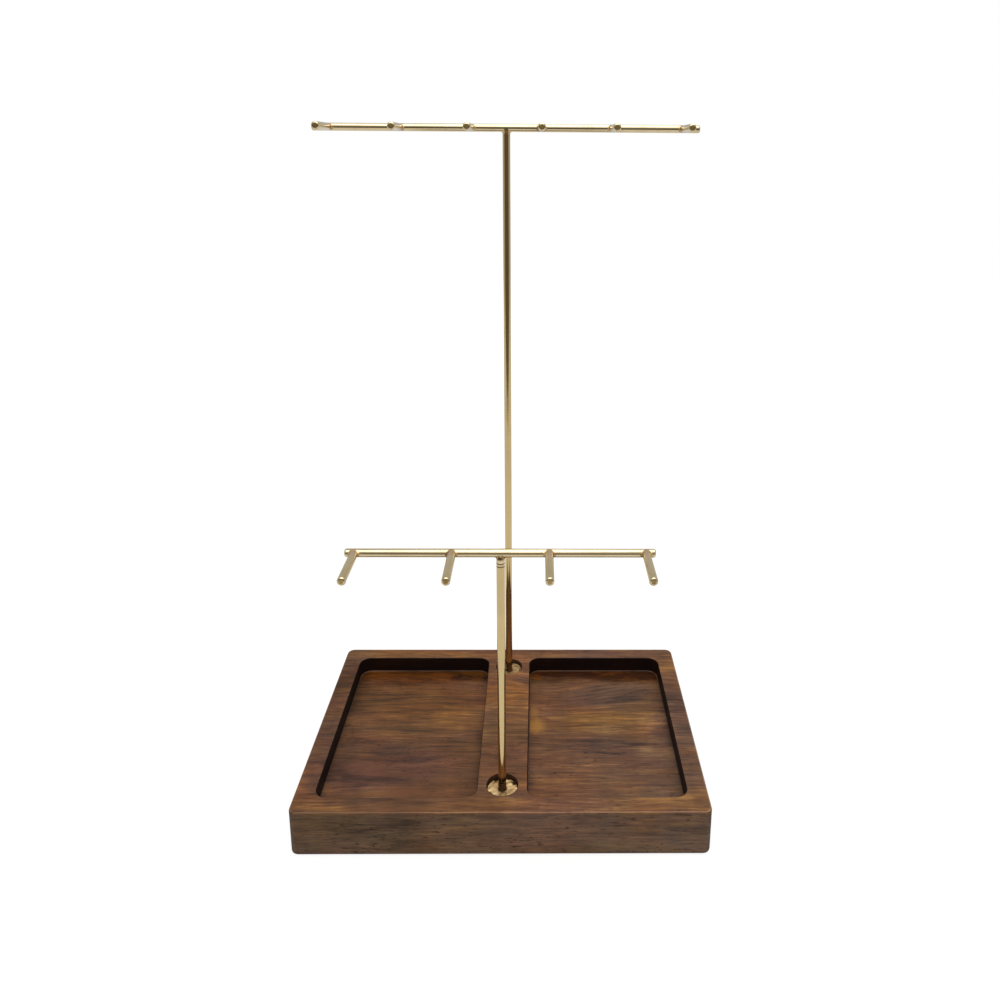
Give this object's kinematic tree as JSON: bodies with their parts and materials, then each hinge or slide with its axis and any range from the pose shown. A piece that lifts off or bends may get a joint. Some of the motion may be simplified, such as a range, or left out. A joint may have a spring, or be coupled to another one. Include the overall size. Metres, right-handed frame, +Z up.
{
  "type": "jewelry stand",
  "caption": "Free-standing jewelry stand: routed wooden base with two shallow trays, and a tall and a short brass T rack with forward pegs, each screwed into the base by its post.",
  "frame": {"origin": "centre of the base's underside, on the surface that the stand rests on", "axes": "+X to the right seen from the front, +Y to the back, +Z up along the posts"},
  "size_m": [0.2032, 0.1486, 0.3429],
  "materials": {
    "dark_wood": "oiled satin",
    "polished_brass": "polished",
    "plated_steel": "bright plated",
    "braze": "satin"
  },
  "bodies": {
    "base": {"base_block": "dark_wood", "rear_tee_nut": "plated_steel", "front_tee_nut": "plated_steel"},
    "rear_rack": {"rear_post": "polished_brass", "rear_crossbar": "polished_brass", "rear_peg_1": "polished_brass", "rear_peg_2": "polished_brass", "rear_peg_3": "polished_brass", "rear_peg_4": "polished_brass", "rear_peg_5": "polished_brass", "rear_peg_6": "polished_brass", "rear_post_braze": "braze", "rear_peg_braze": "braze"},
    "front_rack": {"front_post": "polished_brass", "front_crossbar": "polished_brass", "front_peg_1": "polished_brass", "front_peg_2": "polished_brass", "front_peg_3": "polished_brass", "front_peg_4": "polished_brass", "front_post_braze": "braze", "front_peg_braze": "braze"}
  },
  "joints": [
    {"name": "rear_rack_turn", "type": "hinge", "parent": "base", "child": "rear_rack", "pos_m": [0, 0.0508, 0.0218], "axis": [0, 0, 1], "range_deg": [0, 180]},
    {"name": "front_rack_turn", "type": "hinge", "parent": "base", "child": "front_rack", "pos_m": [0, -0.0508, 0.0218], "axis": [0, 0, 1], "range_deg": [0, 180]}
  ]
}
